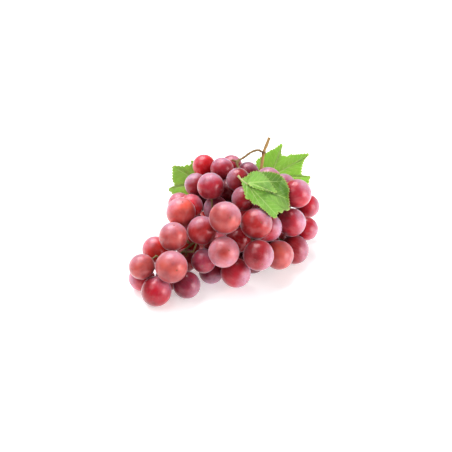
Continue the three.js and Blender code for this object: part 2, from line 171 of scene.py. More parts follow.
BACK_RIGHT_OUTLINE = (
    (24.5, 48.5), (25.5, 54), (29.5, 56.5), (33, 60), (36, 61.5), (40, 63), (46, 67.5),
    (44.5, 62.5), (45, 57.5), (47.5, 58), (50, 57), (52.5, 58.5), (56.5, 58), (60.5, 58.5),
    (68, 59), (65, 56.5), (63, 52.5), (61.5, 46), (61.5, 41), (69.5, 40), (68, 37.5), (67, 33),
    (62, 33), (57, 29), (51, 31), (44, 29.5), (38, 34.5), (31, 36), (28, 42.5),
)
BACK_RIGHT_VEINS = ((37, 40), ((46, 67), (67.5, 58.5), (69, 39.5), (26, 55), (56, 30)))
BACK_RIGHT_GREENS = ((0.2, 0.44, 0.03), (0.5, 0.68, 0.16))
BACK_RIGHT_PETIOLE = ((28, 34, -53), (32, 38, -52), (38, 43, -50.5))
BACK_LEFT_FOOT = (-21, 36)
BACK_LEFT_OUTLINE = (
    (-43.5, 49), (-34.5, 48.5), (-33, 50), (-28.5, 49), (-28, 54), (-24.5, 47.5), (-19, 50),
    (-12.5, 44.5), (-11.5, 34.5), (-16.5, 29.5), (-23, 24), (-31, 24.5), (-42.5, 26), (-47, 30),
    (-41, 33), (-43.5, 37.5), (-43.5, 44.5),
)
BACK_LEFT_VEINS = ((-21, 36), ((-43.5, 48.5), (-46.5, 30), (-28, 53.5), (-30, 25), (-13, 44)))
BACK_LEFT_GREENS = ((0.24, 0.44, 0.05), (0.45, 0.56, 0.2))
BACK_LEFT_PETIOLE = ((4, 41, -58), (-5, 42, -54), (-13, 40, -49), (-23, 36, -45))

# Skin colours, as they look: red, green and blue out of 255.
TONES = {
    "scarlet": (218, 14, 28),
    "crimson": (176, 12, 36),
    "cherry": (151, 8, 18),
    "brick": (172, 30, 22),
    "orange": (208, 50, 36),
    "salmon": (225, 90, 74),
    "rose": (208, 68, 78),
    "russet": (192, 86, 80),
    "mauve": (161, 52, 78),
    "plum": (127, 20, 50),
    "maroon": (98, 7, 18),
}

# Seen berries: across, up, near, diameter, skin, how much bloom veils it, and on which side:
# degrees round the berry as it is seen, from its right, or all round. The bloom is laid on the lit
# side or round the rim, so it is partly painted sheen; the side away from it gets painted shade.
SEEN = (
    # top of the bunch
    (-17.5, 49, -30, 19, "scarlet", 0.3, 129),
    (-3, 44.5, -20, 19, "crimson", 0.75, 103),
    (5, 49, -38, 18.5, "crimson", 0.5, 70),
    (17, 44, -30, 18.5, "plum", 0.4, 80),
    (8.5, 35.5, -10, 19, "cherry", 0.6, 157),
    (-24, 33, -16, 19, "cherry", 0.8, 124),
    (-12.5, 31.5, 2, 22, "crimson", 0.8, 104),
    # left shoulder
    (-37.5, 17, -18, 19.5, "rose", 0.5, 119),
    (-35.5, 10.5, 6, 24, "salmon", 0.7, 132),
    (-24, 15, -9, 19.5, "scarlet", 0.45, 65),
    (-10, 11, 4, 21, "mauve", 0.9, 168),
    (-1, 6.5, 30, 26.5, "russet", 0.6, 62),
    (-19.5, -4, 14, 23.5, "brick", 0.6, 102),
    (-43, -8.5, 22, 23.5, "russet", 0.6, 102),
    # tip
    (-57.5, -19.5, 12, 22, "orange", 0.55, 130),
    (-44.5, -33.5, 36, 26.5, "russet", 0.5, 80),
    (-68.5, -34, 28, 21, "russet", 0.4, 118),
    (-68.5, -42.5, 11, 21.5, "rose", 0.6, 186),
    (-57.5, -53.5, 28, 25, "crimson", 0.4, 50),
    (-32.5, -48, 22, 22.5, "plum", 0.3, 340),
    (-34, -26, 6, 19.5, "cherry", 0.2, 58),
    # front
    (-21.5, -24.5, 20, 20.5, "mauve", 0.4, 59),
    (-2, -21.5, 32, 25.5, "russet", 0.4, "round"),
    (-12.5, -39.5, 4, 20.5, "plum", 0.7, 291),
    (8, -38.5, 15, 24.5, "crimson", 0.7, 336),
    (22, -29, -10, 20, "maroon", 0.1, 270),
    (26.5, -23, 26, 25.5, "cherry", 0.6, 340),
    (43, -23.5, -4, 24, "russet", 0.25, 13),
    (55.5, -19, -22, 24, "cherry", 0.5, 359),
    # right shoulder
    (25, 1, 22, 26, "brick", 0.6, 51),
    (34.5, -1, -1, 23.5, "crimson", 0.8, 0),
    (53, 3, -9, 23.4, "crimson", 0.9, 14),
    (65.5, -2, -31, 19.5, "crimson", 0.55, 343),
    (57, 26, -20, 23.5, "crimson", 0.75, 36),
    (67, 16.5, -42, 20, "crimson", 0.45, 348),
    (34.5, 37, -16, 22, "mauve", 0.6, 100),
    (47, 32, -34, 21, "mauve", 0.6, 80),
    (14.5, 22.5, 8, 20.5, "cherry", 0.5, 139),
    (25.5, 15, -22, 20.5, "maroon", 0.15, 100),
    # deep between the others
    (-17, 22.5, -24, 20, "maroon", 0.1, 100),
    (0, 24, -20, 20, "maroon", 0.1, 100),
    (10, -8, -6, 21, "cherry", 0.1, 100),
    (-31, -15, -10, 20, "brick", 0.1, 100),
    (34, -13, -16, 20, "maroon", 0.1, 100),
    (44, 14, -24, 20, "maroon", 0.1, 100),
    (40, -12, -34, 20, "cherry", 0.1, 100),
)

# How finely the meshes are divided. The rim's parts are those of each side of a tooth.
BERRY_SEGMENTS = 48
BERRY_RINGS = 32
LEAF_RINGS = 26
RIM_PARTS = 4

# Further than any place on a leaf is from a vein, and what is added to that behind its foot.
FAR_ASIDE = 99.0
BEHIND_FOOT = 60.0

# Stage, in millimetres.
LIGHT_DISTANCE = 700
PAPER_REACH = 3000
PAPER_DROP = 0.2


def from_look(across, up, near):
    """The point that is seen at a place."""
    scale = 1 - near / LOOK_DISTANCE
    return LOOK_AT + RIGHT * (across * scale) + UP * (up * scale) + TOWARD * near


def to_look(point):
    """Across, up, near and the scale there."""
    offset = point - LOOK_AT
    near = offset @ TOWARD
    scale = 1 - near / LOOK_DISTANCE
    return offset @ RIGHT / scale, offset @ UP / scale, near, scale


def length(vector):
    """The length of a vector."""
    return math.sqrt(vector @ vector)


def unit(vector):
    """The vector at a length of one."""
    return vector / length(vector)


def rounded(points):
    """A path with its corners cut twice."""
    path = list(points)
    for _ in range(2):
        cut = [path[0]]
        for here, after in zip(path, path[1:]):
            cut.append(here + (after - here) * 0.25)
            cut.append(here + (after - here) * 0.75)
        cut.append(path[-1])
        path = cut
    return path


def along(path, share):
    """The point at a share of a path's length."""
    lengths = [length(after - here) for here, after in zip(path, path[1:])]
    left = share * sum(lengths)
    for k, stretch in enumerate(lengths):
        if left <= stretch:
            return path[k] + (path[k + 1] - path[k]) * (left / stretch)
        left -= stretch
    return path[-1].copy()


def closest_on_line(start, end, point):
    """The point of a straight stretch that is closest to another."""
    run = end - start
    share = min(1.0, max(0.0, (point - start) @ run / (run @ run)))
    return start + run * share


def fullness(x):
    """How thick the bunch is at a place along it, as a share of its most."""
    reach = BODY_TIP if x < BODY_BROADEST else BODY_END
    share = (x - BODY_BROADEST) / (reach - BODY_BROADEST)
    return math.sqrt(max(0.0, 1 - share * share))


def skin_point(x, angle, depth):
    """A point of the bunch's skin at an angle round it, or at a share of the way out to it."""
    wide = BODY_HALF_WIDTH * fullness(x) * depth
    tall = BODY_HEIGHT / 2 * fullness(x)
    middle = BODY_MIDDLE_Y + BODY_BEND * (x - BODY_BROADEST)
    return np.array(
        (x, middle + wide * math.cos(angle), BODY_LOWEST + tall + tall * depth * math.sin(angle))
    )


RACHIS_PATH = rounded(
    [from_look(*place) for place in PEDUNCLE] + [np.array(place, float) for place in CORE]
)
CANE_PATH = [from_look(*place) for place in CANE]


class Arm:
    """A side stem of the stalk, with the berries that hang on it."""

    def __init__(self, index):
        self.root = along(RACHIS_PATH, ARM_FIRST + ARM_SPREAD * index / (ARM_COUNT - 1))
        lean = ARM_LEAN[0] + (ARM_LEAN[1] - ARM_LEAN[0]) * index / (ARM_COUNT - 1)
        outer = skin_point(self.root[0] + lean, index * GOLDEN_ANGLE, 1)
        self.tip = self.root + (outer - self.root) * ARM_REACH
        self.berries = []


class Berry:
    """A berry's place and size, how it gives way and how its skin looks."""

    def __init__(self, at, radius, give, tone, bloom, side, seen):
        self.at = at
        self.radius = radius
        self.give = give
        self.tone = tone
        self.bloom = bloom
        self.side = side
        self.seen = seen


def seen_berries():
    """The berries that can be seen, at their places."""
    berries = []
    for across, up, near, diameter, tone, bloom, side in SEEN:
        radius = diameter / 2 * (1 - near / LOOK_DISTANCE)
        at = from_look(across, up, near)
        berries.append(Berry(at, radius, GIVE_SEEN, tone, bloom, side, True))
    return berries


def is_covered(point, radius):
    """Whether the seen berries all but hide a berry, looked at from the show side."""
    across, up, near, scale = to_look(point)
    apparent = radius / scale
    bare = 0
    for k in range(12):
        x = across + apparent * math.cos(k * math.pi / 6)
        y = up + apparent * math.sin(k * math.pi / 6)
        if not any(
            before > near and math.hypot(x - middle_x, y - middle_y) < diameter / 2 + 1
            for middle_x, middle_y, before, diameter, _, _, _ in SEEN
        ):
            bare += 1
    return bare <= 2


def before_leaf(at, radius, leaf):
    """How far a berry stands before a back leaf; boundless where it is clear of it."""
    surface, middle, reach = leaf
    across, up, near, _ = to_look(at)
    if math.hypot(across - middle[0], up - middle[1]) > reach + 0.7 * radius:
        return math.inf
    return near - surface(across, up) - radius


def back_right_surface(across, up):
    """How near the leaf behind the bunch on the right is."""
    return -51 - 0.12 * (up - 41) + 0.004 * (across - 45) ** 2


def back_left_surface(across, up):
    """How near the leaf behind the bunch on the left is."""
    return -45 + 0.1 * (across + 21) + 0.004 * (up - 36) ** 2


# Each back leaf's surface, its middle and how far it reaches from there.
BACK_LEAVES = ((back_right_surface, (46, 46), 21), (back_left_surface, (-29, 38), 17))


def hidden_berries(taken):
    """Berries spread evenly over the skin, and deeper in, where there is room."""
    tones = sorted(TONES)
    added = []
    for k in range(1, HIDDEN_TRIES):
        x = BODY_TIP + 12 + (BODY_END - BODY_TIP - 20) * ((k * STEP_ALONG) % 1)
        angle = 2 * math.pi * ((k * STEP_ROUND) % 1)
        depth = HIDDEN_DEEP if k % 3 == 0 else 1
        share = (k * STEP_SIZE) % 1
        radius = (HIDDEN_SMALLEST + (HIDDEN_LARGEST - HIDDEN_SMALLEST) * share) / 2
        at = skin_point(x, angle, depth)
        room = all(
            length(at - other.at) > HIDDEN_CLOSEST * (radius + other.radius)
            for other in taken + added
        )
        before = all(before_leaf(at, radius, leaf) > HIDDEN_INTO_LEAF for leaf in BACK_LEAVES)
        if room and before and is_covered(at, radius):
            tone = tones[(7 * len(added)) % len(tones)]
            side = math.degrees(2 * angle)
            added.append(Berry(at, radius, GIVE_HIDDEN, tone, 0.2 + 0.3 * share, side, False))
    return added


def answer(direction, give):
    """How a berry answers a push along a unit direction."""
    aside, depth = give
    return direction * aside + TOWARD * ((depth - aside) * (direction @ TOWARD))


def push_from(berry, point, clearance):
    """Moves a berry until it is clear of a point."""
    away = berry.at - point
    lack = berry.radius + clearance - length(away)
    if lack <= 0:
        return
    away = unit(away)
    move = answer(away, berry.give)
    berry.at += move * (lack / (move @ away))


def push_apart(one, other):
    """Moves two berries until they are a gap apart, and tells how far they had to go."""
    between = other.at - one.at
    lack = one.radius + other.radius + GAP - length(between)
    if lack <= 0:
        return 0
    between = unit(between)
    move_one = answer(between, one.give)
    move_other = answer(between, other.give)
    total = move_one @ between + move_other @ between
    one.at -= move_one * (lack / total)
    other.at += move_other * (lack / total)
    return lack


def stretches(path, radius):
    """A stem's straight stretches, with its radius."""
    return [(here, after, radius) for here, after in zip(path, path[1:])]


def settle(berries, arms):
    """Moves the berries until none meets another, the stalk, a back leaf or the table."""
    stalks = (
        stretches(RACHIS_PATH, RACHIS_RADIUS)
        + stretches(CANE_PATH, CANE_RADIUS)
        + stretches([from_look(*place) for place in BACK_RIGHT_PETIOLE], PETIOLE_RADIUS)
        + stretches([from_look(*place) for place in BACK_LEFT_PETIOLE], PETIOLE_RADIUS)
        + [(arm.root, arm.tip, ARM_RADIUS) for arm in arms]
    )
    starts = np.array([start for start, _, _ in stalks])
    runs = np.array([end - start for start, end, _ in stalks])
    squares = (runs * runs).sum(axis=1)
    places = np.array([berry.at for berry in berries])
    radii = np.array([berry.radius for berry in berries])
    for berry, place in zip(berries, places):
        berry.at = place
    reach = 6  # a neighbour further off than this isn't met within one berry's turn
    for _ in range(SETTLE_ROUNDS):
        most = 0
        for i, berry in enumerate(berries):
            apart = np.linalg.norm(places[i + 1 :] - berry.at, axis=1) - radii[i + 1 :]
            for j in np.flatnonzero(apart < berry.radius + GAP + reach):
                most = max(most, push_apart(berry, berries[i + 1 + j]))
            shares = ((berry.at - starts) * runs).sum(axis=1) / squares
            nearest = starts + runs * np.clip(shares, 0, 1)[:, None]
            apart = np.linalg.norm(nearest - berry.at, axis=1)
            for k in np.flatnonzero(apart < berry.radius + CANE_RADIUS + GAP + reach):
                start, end, radius = stalks[k]
                push_from(berry, closest_on_line(start, end, berry.at), radius + GAP)
            for leaf in BACK_LEAVES:
                lack = LEAF_CLEARANCE - before_leaf(berry.at, berry.radius, leaf)
                berry.at += TOWARD * max(0.0, lack)
            berry.at[2] = max(berry.at[2], berry.radius - PRESSED)
        if most < 0.001:
            return


def stem_path(arm, berry, obstacles):
    """From the arm, bent clear of the berries and stems in its way, to just inside the berry."""
    start = closest_on_line(arm.root + (arm.tip - arm.root) * 0.35, arm.tip, berry.at)
    count = 8
    points = [start + (berry.at - start) * (k / (count - 1)) for k in range(count)]
    near = [
        (at, radius)
        for at, radius in obstacles
        if length(closest_on_line(start, berry.at, at) - at) < radius + 12
    ]
    for _ in range(60):
        for k in range(1, count - 1):
            even = (points[k - 1] + points[k + 1]) * 0.5
            points[k] = points[k] + (even - points[k]) * 0.3
            for at, radius in near:
                away = points[k] - at
                lack = radius - length(away)
                if lack > 0:
                    points[k] = points[k] + unit(away) * lack
        inward = unit(points[count - 2] - berry.at)
        points[count - 1] = berry.at + inward * (berry.radius - 2)
    return points


class Bunch:
    """Where every berry and stem of the bunch lies."""

    def __init__(self):
        self.arms = [Arm(k) for k in range(ARM_COUNT)]
        berries = seen_berries()
        berries += hidden_berries(berries)
        settle(berries, self.arms)
        # A hidden berry that was pushed into sight is left out.
        self.berries = [
            berry for berry in berries if berry.seen or is_covered(berry.at, berry.radius)
        ]
        for number, berry in enumerate(self.berries):
            berry.number = number
            arm = min(self.arms, key=lambda arm: self.farness(arm, berry))
            arm.berries.append(berry)
        self.lay_stems()

    def farness(self, arm, berry):
        """How badly a berry hangs on a side stem."""
        start = closest_on_line(arm.root, arm.tip, berry.at)
        showing = sum(self.shows(start + (berry.at - start) * k / 8) for k in range(8))
        crowd = math.sqrt(len(arm.berries))
        return length(berry.at - start) + STEM_SHYNESS * showing + CROWD_SHYNESS * crowd

    def shows(self, point):
        """Whether no berry hides a point from the show side."""
        for berry in self.berries:
            off = berry.at - point
            near = off @ TOWARD
            if near > 0 and off @ off - near * near < berry.radius**2:
                return False
        return True

    def lay_stems(self):
        """Gives each berry its stem, clear of the stalk and of the other sprays' stems."""
        clearance = RACHIS_RADIUS + PEDICEL_RADIUS + PART_GAP + 1
        in_the_way = [(along(RACHIS_PATH, k / 80), clearance, None) for k in range(81)]
        for arm in self.arms:
            for berry in arm.berries:
                obstacles = [
                    (other.at, other.radius + PEDICEL_RADIUS + 0.6)
                    for other in self.berries
                    if other is not berry
                ]
                obstacles += [(at, radius) for at, radius, owner in in_the_way if owner is not arm]
                berry.stem = stem_path(arm, berry, obstacles)
                for k in range(13):
                    in_the_way.append((along(berry.stem, k / 12), 2 * PEDICEL_RADIUS + 0.7, arm))


BUNCH = Bunch()


class Shape:
    """Points and faces of one piece, with the values that its material reads at each point."""

    def __init__(self):
        self.points = []
        self.faces = []
        self.values = {}
        self.count = 0

    def add(self, points, faces, **values):
        """Adds a body, with its values at every point or one for all of them."""
        self.points.append(points)
        self.faces += [tuple(corner + self.count for corner in face) for face in faces]
        for name, value in values.items():
            value = np.asarray(value, float)
            if value.ndim == 0 or value.shape[0] != len(points):
                value = np.tile(value, (len(points),) + (1,) * value.ndim)
            self.values.setdefault(name, []).append(value)
        self.count += len(points)

    def make(self, name, material, node):
        """Makes the object, standing for the node."""
        mesh = bpy.data.meshes.new(name)
        mesh.from_pydata((np.concatenate(self.points) * MM).tolist(), [], self.faces)
        for key, parts in self.values.items():
            value = np.concatenate([part.reshape(len(part), -1) for part in parts])
            kind, field = ("FLOAT", "value") if value.shape[1] == 1 else ("FLOAT_VECTOR", "vector")
            mesh.attributes.new(key, kind, "POINT").data.foreach_set(field, value.ravel())
        mesh.validate()
        mesh.shade_smooth()
        piece = bpy.data.objects.new(name, mesh)
        bpy.context.collection.objects.link(piece)
        mesh.materials.append(material)
        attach(piece, "root")
        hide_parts(node)
        return piece


def smooth(path, steps):
    """A curve through the points of a path, as even steps."""
    padded = [path[0] * 2 - path[1], *path, path[-1] * 2 - path[-2]]
    fine = []
    for a, b, c, d in zip(padded, padded[1:], padded[2:], padded[3:]):
        for k in range(8):
            t = k / 8
            curve = b * 2 + (c - a) * t + (a * 2 - b * 5 + c * 4 - d) * t**2
            fine.append((curve + (b * 3 - a - c * 3 + d) * t**3) * 0.5)
    fine.append(path[-1])
    return [along(fine, k / steps) for k in range(steps + 1)]


def tube(path, radii, sides, ragged=0.0, seed=0):
    """Points, faces and material places of a closed tube along a path."""
    draw = np.random.default_rng(seed)
    waves = draw.uniform(0, 2 * math.pi, 3)
    points, places = [], []
    run = 0.0
    normal = None
    for k, (at, radius) in enumerate(zip(path, radii)):
        forward = unit(path[min(k + 1, len(path) - 1)] - path[max(k - 1, 0)])
        if normal is None:
            normal = np.cross(forward, (0.3, 0.5, 0.81))
        normal = unit(normal - forward * (normal @ forward))
        binormal = np.cross(forward, normal)
        run += length(at - path[k - 1]) if k else 0
        for side in range(sides):
            angle = 2 * math.pi * side / sides
            uneven = ragged * (
                math.sin(0.9 * run + waves[0]) + 0.6 * math.sin(2 * angle + 0.5 * run + waves[1])
            )
            out = normal * math.cos(angle) + binormal * math.sin(angle)
            points.append(at + out * radius * (1 + uneven))
            places.append((math.cos(angle), math.sin(angle), run))
    faces = []
    for k in range(len(path) - 1):
        for side in range(sides):
            after = (side + 1) % sides
            one, two = k * sides, (k + 1) * sides
            faces.append((one + side, one + after, two + after, two + side))
    for ring, end, flip in ((0, path[0], True), (len(path) - 1, path[-1], False)):
        middle = len(points)
        points.append(end)
        places.append((0, 0, places[ring * sides][2]))
        for side in range(sides):
            pair = (ring * sides + side, ring * sides + (side + 1) % sides)
            faces.append((middle, *(reversed(pair) if flip else pair)))
    return np.array(points), faces, np.array(places)


def add_tube(shape, path, radii, sides, ragged=0.0, seed=0, **values):
    """Adds a closed tube along a path to a piece."""
    points, faces, places = tube(path, radii, sides, ragged, seed)
    shape.add(points, faces, round_along=places, **values)


def unit_ball(segments, rings):
    """Directions and faces of a ball whose poles are on Z."""
    directions = [(0.0, 0.0, 1.0)]
    for ring in range(1, rings):
        tilt = math.pi * ring / rings
        for k in range(segments):
            turn = 2 * math.pi * k / segments
            directions.append(
                (math.sin(tilt) * math.cos(turn), math.sin(tilt) * math.sin(turn), math.cos(tilt))
            )
    directions.append((0.0, 0.0, -1.0))
    last = len(directions) - 1
    faces = []
    for k in range(segments):
        after = (k + 1) % segments
        faces.append((0, 1 + k, 1 + after))
        for ring in range(rings - 2):
            one, two = 1 + ring * segments, 1 + (ring + 1) * segments
            faces.append((one + k, two + k, two + after, one + after))
        faces.append((last, last - segments + after, last - segments + k))
    return np.array(directions), faces


def linear(colour):
    """A colour out of 255, as it looks, in the even scale that a material takes."""
    shares = np.asarray(colour, float) / 255
    return np.where(shares <= 0.04045, shares / 12.92, ((shares + 0.055) / 1.055) ** 2.4)


BALL_DIRECTIONS, BALL_FACES = unit_ball(BERRY_SEGMENTS, BERRY_RINGS)


def add_berry(shape, berry):
    """A slightly uneven berry: dimpled at its stem, with the flower's scar opposite, its colour
    carrying painted sheen and painted shade.
    """
    draw = np.random.default_rng(100 + berry.number)
    pole = unit(berry.stem[-2] - berry.at)
    first = unit(np.cross(pole, (0.3, 0.5, 0.81)))
    turned = Matrix.Rotation(draw.uniform(0, 2 * math.pi), 3, "Z")
    basis = np.array((first, np.cross(pole, first), pole))
    local = BALL_DIRECTIONS @ np.array(turned)
    out = local @ basis
    size = np.full(len(local), 1.0)
    for _ in range(4):
        axis = unit(draw.normal(size=3))
        size += 0.004 * np.sin(draw.uniform(1.5, 3.5) * (local @ axis) + draw.uniform(0, 6))
    from_stem = np.arccos(np.clip(local[:, 2], -1, 1))
    size *= 1 + 0.018 * local[:, 2] ** 2
    size -= 0.07 * np.exp(-((from_stem / 0.28) ** 2))
    size -= 0.012 * np.exp(-(((math.pi - from_stem) / 0.12) ** 2))
    points = berry.at + out * (berry.radius * size)[:, None]
    points[:, 2] = np.maximum(points[:, 2], 0)
    # Painted light: the pale bloom is laid towards the given side, mostly the lit top, or round the
    # rim as it is seen, so it is partly painted sheen.
    if berry.side == "round":
        facing = np.sqrt(1 - np.clip(out @ TOWARD, 0, 1) ** 2)
        deeper = np.clip(1 - facing / 0.5, 0, 1)
    else:
        side = math.radians(berry.side)
        facing = out @ (RIGHT * math.cos(side) + UP * math.sin(side))
        deeper = np.clip(-facing, 0, 1)
    facing = np.clip((facing - 0.1) / 0.75, 0, 1)
    veil = berry.bloom * (0.06 + 0.94 * facing**2 * (3 - 2 * facing))
    # Painted shade: the skin's tone is darkened on the side away from the bloom, or, for bloom all
    # round the rim, in the middle facing the eye.
    tone = linear(TONES[berry.tone]) * (1 - deeper[:, None] * (0.45, 0.75, 0.75))
    shape.add(
        points,
        BALL_FACES,
        tone=tone,
        veil=veil,
        place=local,
        number=float(berry.number),
    )


def toothed(corners):
    """Cuts small teeth between the corners of a leaf's outline."""
    points = []
    for (x, y), (next_x, next_y) in zip(corners, corners[1:] + corners[:1]):
        reach = math.hypot(next_x - x, next_y - y)
        teeth = max(1, math.floor(reach / TOOTH_PITCH + 0.5))
        for k in range(teeth):
            points.append((x + (next_x - x) * k / teeth, y + (next_y - y) * k / teeth))
            if teeth == 1:
                continue
            peak = (k + 0.62) / teeth
            points.append(
                (
                    x + (next_x - x) * peak - TOOTH_DEPTH * (next_y - y) / reach,
                    y + (next_y - y) * peak + TOOTH_DEPTH * (next_x - x) / reach,
                )
            )
    return points


def fine_rim(outline):
    """The outline with each side of a tooth bowed out a little."""
    corners = toothed(outline)
    rim = []
    for (x, y), (next_x, next_y) in zip(corners, corners[1:] + corners[:1]):
        for k in range(RIM_PARTS):
            share = k / RIM_PARTS
            bow = 0.22 * share * (1 - share)
            rim.append(
                (
                    x + (next_x - x) * share - bow * (next_y - y),
                    y + (next_y - y) * share + bow * (next_x - x),
                )
            )
    return np.array(rim)


def drape(across, up):
    """How near the front leaf lies: over the nearest of the berries under it, rounded off."""
    total = 0
    for berry in BUNCH.berries:
        if not berry.seen:
            continue
        x, y, near, scale = to_look(berry.at)
        aside = np.hypot(across - x, up - y) * scale
        front = near + berry.radius - aside**2 / (2 * berry.radius)
        total = total + np.exp(front / DRAPE_SOFTNESS)
    return DRAPE_SOFTNESS * np.log(total) + DRAPE_CLEARANCE


def past_line(line, across, up):
    """How far a place lies to the left of a line, looked at from its start to its end."""
    (x, y), (end_x, end_y) = line
    run_x, run_y = end_x - x, end_y - y
    return ((up - y) * run_x - (across - x) * run_y) / math.hypot(run_x, run_y)


def no_painted_shade(across, up):
    """No painted shade anywhere on a leaf."""
    return np.zeros(np.shape(across))


def front_painted_shade(across, up):
    """How much painted shade darkens the front leaf: the half of it past the line across its middle.
    """
    return np.clip(past_line(FRONT_SHADE_LINE, across, up) / SHADE_SOFTNESS, 0, 1)


def lapped(across, up):
    """How near the front leaf's folded lobe lies, risen over the blade."""
    share = np.clip(-past_line(LAP_LINE, across, up) / LAP_ROUND, 0, 1)
    return drape(across, up) + LAP_RISE * np.sqrt(1 - (1 - share) ** 2) - 0.3


def add_blade(shape, foot, outline, surface, veins, thickness, deeper=no_painted_shade):
    """A thin closed blade on a surface, quilted between its veins."""
    rim = fine_rim(outline)
    count = len(rim)
    shares = np.linspace(0, 1, LEAF_RINGS + 1)[1:]
    centre = np.array(foot, float)
    flat = np.concatenate([[centre]] + [centre + (rim - centre) * share for share in shares])
    x, y = flat[:, 0], flat[:, 1]
    edge = np.concatenate([[0.0]] + [np.full(count, share) for share in shares])

    def at(dx, dy):
        """The blade's points, moved a little across and up."""
        near = surface(x + dx, y + dy) + QUILT_HEIGHT * quilt(x + dx, y + dy, veins)
        scale = 1 - near / LOOK_DISTANCE
        return (
            LOOK_AT
            + RIGHT * ((x + dx) * scale)[:, None]
            + UP * ((y + dy) * scale)[:, None]
            + TOWARD * near[:, None]
        )

    middle = at(0, 0)
    normal = np.cross(at(0.2, 0) - middle, at(0, 0.2) - middle)
    normal /= np.linalg.norm(normal, axis=1)[:, None]
    half = thickness / 2 * (1 - 0.55 * edge**6)[:, None]
    points = np.concatenate([middle + normal * half, middle - normal * half])
    under = len(flat)
    faces = []
    for k in range(count):
        after = (k + 1) % count
        faces.append((0, 1 + after, 1 + k))
        faces.append((under, under + 1 + k, under + 1 + after))
        for ring in range(LEAF_RINGS - 1):
            inner = 1 + ring * count
            outer = inner + count
            face = (inner + k, inner + after, outer + after, outer + k)
            faces.append(face)
            faces.append(tuple(under + corner for corner in reversed(face)))
        last = 1 + (LEAF_RINGS - 1) * count
        faces.append((last + k, last + after, under + last + after, under + last + k))
    place = np.concatenate([flat - np.array(veins[0])] * 2)
    shape.add(
        points,
        faces,
        leaf_place=np.column_stack([place, np.zeros(len(place))]),
        edge=np.concatenate([edge, edge]),
        underside=np.repeat([0.0, 1.0], under),
        deeper=np.tile(deeper(x, y), 2),
        round_along=np.zeros(3),
        stalk=0.0,
    )


def quilt(x, y, veins):
    """Height of the blade between its veins, from 0 on a vein to 1."""
    foot, tips = veins
    nearest = np.full(np.shape(x), 50.0)
    for tip in tips:
        run = np.array(tip, float) - foot
        share = np.clip(((x - foot[0]) * run[0] + (y - foot[1]) * run[1]) / (run @ run), 0, 1)
        aside = np.hypot(x - foot[0] - run[0] * share, y - foot[1] - run[1] * share)
        nearest = np.minimum(nearest, aside)
    return 1 - np.exp(-((nearest / 2.2) ** 2))


def make_node(tree, kind, inputs=None, **settings):
    """A shader node, with its settings and with a value or a link on each named input."""
    node = tree.nodes.new(kind)
    for key, value in settings.items():
        setattr(node, key, value)
    for key, value in (inputs or {}).items():
        if isinstance(value, bpy.types.NodeSocket):
            tree.links.new(value, node.inputs[key])
        else:
            node.inputs[key].default_value = value
    return node


def calculate(tree, operation, *values, clamp=False):
    """One step of arithmetic."""
    inputs = dict(enumerate(values))
    node = make_node(tree, "ShaderNodeMath", inputs, operation=operation, use_clamp=clamp)
    return node.outputs[0]


def plus(tree, one, other, clamp=False):
    """The sum of two values."""
    return calculate(tree, "ADD", one, other, clamp=clamp)


def times(tree, one, other, clamp=False):
    """The product of two values."""
    return calculate(tree, "MULTIPLY", one, other, clamp=clamp)


def mix(tree, factor, one, other, blend="MIX"):
    """Two colours, mixed."""
    node = make_node(
        tree, "ShaderNodeMix", {0: factor, 6: one, 7: other}, data_type="RGBA", blend_type=blend
    )
    return node.outputs[2]


def span(tree, value, low, high, to_low=0.0, to_high=1.0):
    """A value's place between two bounds, held within them."""
    inputs = {0: value, 1: low, 2: high, 3: to_low, 4: to_high}
    return make_node(tree, "ShaderNodeMapRange", inputs).outputs[0]


def noise(tree, vector, scale, detail=2.0, rough=0.5, stretch=None):
    """Cloudy noise, drawn out along an axis where its stretch is small."""
    if stretch:
        vector = make_node(
            tree, "ShaderNodeVectorMath", {0: vector, 1: stretch}, operation="MULTIPLY"
        ).outputs[0]
    inputs = {"Vector": vector, "Scale": scale, "Detail": detail, "Roughness": rough}
    return make_node(tree, "ShaderNodeTexNoise", inputs).outputs["Fac"]


def spots(tree, vector, scale, feature="F1"):
    """How far each place is from the middle of a spot, or from the edge of a cell."""
    inputs = {"Vector": vector, "Scale": scale}
    node = make_node(tree, "ShaderNodeTexVoronoi", inputs, feature=feature)
    return node.outputs["Distance"]


def relief(tree, surface, height, strength, depth):
    """Gives the surface a fine relief, its depth in metres."""
    inputs = {"Strength": strength, "Distance": depth, "Height": height}
    bump = make_node(tree, "ShaderNodeBump", inputs)
    tree.links.new(bump.outputs[0], surface.inputs["Normal"])


def read(tree, name, output="Fac"):
    """A value that the mesh carries at each point."""
    return make_node(tree, "ShaderNodeAttribute", attribute_name=name).outputs[output]


def new_material(name):
    """A material with its node tree and its shader."""
    material = bpy.data.materials.new(name)
    material.use_nodes = True
    tree = material.node_tree
    tree.nodes.clear()
    surface = tree.nodes.new("ShaderNodeBsdfPrincipled")
    output = tree.nodes.new("ShaderNodeOutputMaterial")
    tree.links.new(surface.outputs[0], output.inputs[0])
    return material, tree, surface


def rgba(colour):
    """A colour with its fourth value."""
    return (*colour[:3], 1.0)


